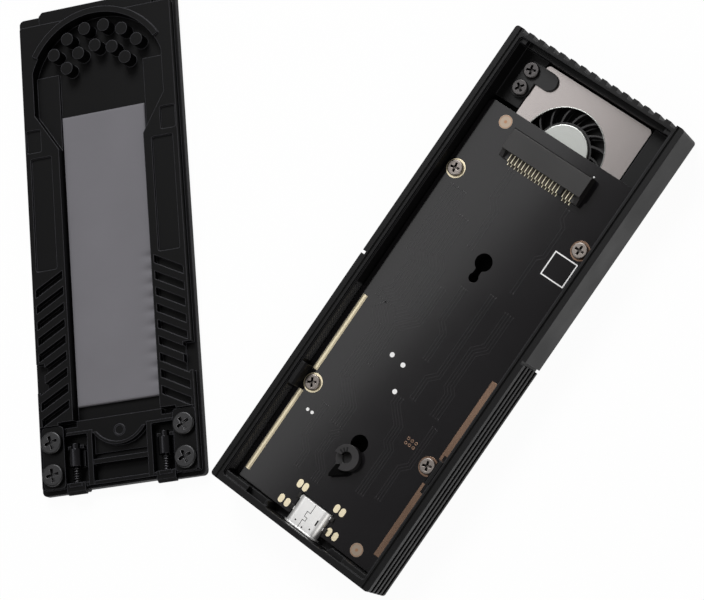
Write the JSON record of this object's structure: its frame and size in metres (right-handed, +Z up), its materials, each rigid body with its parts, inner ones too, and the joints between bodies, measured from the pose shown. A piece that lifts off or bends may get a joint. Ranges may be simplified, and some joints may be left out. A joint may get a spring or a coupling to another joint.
{
  "type": "solid state drive enclosure",
  "caption": "Slim enclosure for a stick-type solid state drive, opened: tray with circuit board, drive socket, USB-C socket and blower; lid beside it with heat pad, fins and latch.",
  "frame": {"origin": "centre of the housing's flat underside, on the floor", "axes": "+X across the housing, +Y along it towards its fan end, +Z up out of the open housing"},
  "size_m": [0.1642, 0.1545, 0.0116],
  "materials": {
    "housing_plastic": "fine satin grain",
    "lid_plastic": "fine satin grain",
    "latch_plastic": "satin",
    "socket_plastic": "satin moulded",
    "retainer_plastic": "matte moulded",
    "fan_plastic": "satin",
    "chip_plastic": "matte moulded",
    "board_mask": "smooth satin solder mask with gold pads and white print",
    "contact_gold": "gold plated",
    "screen_steel": "black fine screen",
    "screw_steel": "plain turned steel",
    "usb_steel": "drawn sheet",
    "fan_plate": "fine brushed sheet",
    "hub_steel": "fine brushed",
    "magnet_rubber": "bound ferrite",
    "bearing_bronze": "sintered",
    "stator_steel": "stamped sheet stack",
    "coil_copper": "enamelled copper wire",
    "clamp_paint": "black matte",
    "heat_pad": "soft silicone",
    "guide_steel": "black oxide, glossy",
    "spring_steel": "bright wire",
    "black_screw": "black oxide"
  },
  "bodies": {
    "enclosure": {"housing_shell": "housing_plastic", "dust_screen_right_mid": "screen_steel", "dust_screen_left_mid": "screen_steel", "dust_screen_right_end": "screen_steel", "dust_screen_left_end": "screen_steel", "main_board": "board_mask", "board_screws": "screw_steel", "ssd_socket_body": "socket_plastic", "ssd_socket_contacts": "contact_gold", "usb_c_shell": "usb_steel", "usb_c_tongue": "socket_plastic", "bridge_chip": "chip_plastic", "bridge_pad": "heat_pad", "power_coil": "chip_plastic", "small_chips": "chip_plastic", "fan_base": "fan_plastic", "fan_cover_plate": "fan_plate", "fan_bearing": "bearing_bronze", "fan_stator": "stator_steel", "fan_coils": "coil_copper", "fan_driver_board": "board_mask", "fan_clamp": "clamp_paint", "fan_clamp_screws": "screw_steel", "lid_shell": "lid_plastic", "lid_pad": "heat_pad", "spring_guide_right": "guide_steel", "spring_guide_left": "guide_steel", "latch_spring_right": "spring_steel", "latch_spring_left": "spring_steel", "latch_plate_right": "latch_plastic", "latch_plate_left": "latch_plastic", "latch_screws": "black_screw"},
    "rotor": {"fan_hub": "hub_steel", "fan_blades": "fan_plastic", "fan_magnet": "magnet_rubber", "fan_shaft": "screw_steel"},
    "retainer": {"ssd_retainer": "retainer_plastic"},
    "latch": {"latch_slider": "latch_plastic"}
  },
  "joints": [
    {"name": "fan_spin", "type": "hinge", "parent": "enclosure", "child": "rotor", "pos_m": [0.0001, 0.0439, 0.0035], "axis": [0, 0, 1], "continuous": true},
    {"name": "ssd_retainer_turn", "type": "hinge", "parent": "enclosure", "child": "retainer", "pos_m": [0.0006, -0.041, 0.0066], "axis": [0, 0, 1], "range_deg": [0, 90]},
    {"name": "latch_slide", "type": "slide", "parent": "enclosure", "child": "latch", "axis": [-0.6652, 0.7466, 0], "range_m": [0, 0.0013], "stiffness_N_per_m": 250, "springref_m": -0.002, "deforming": ["latch_spring_right", "latch_spring_left"]}
  ]
}
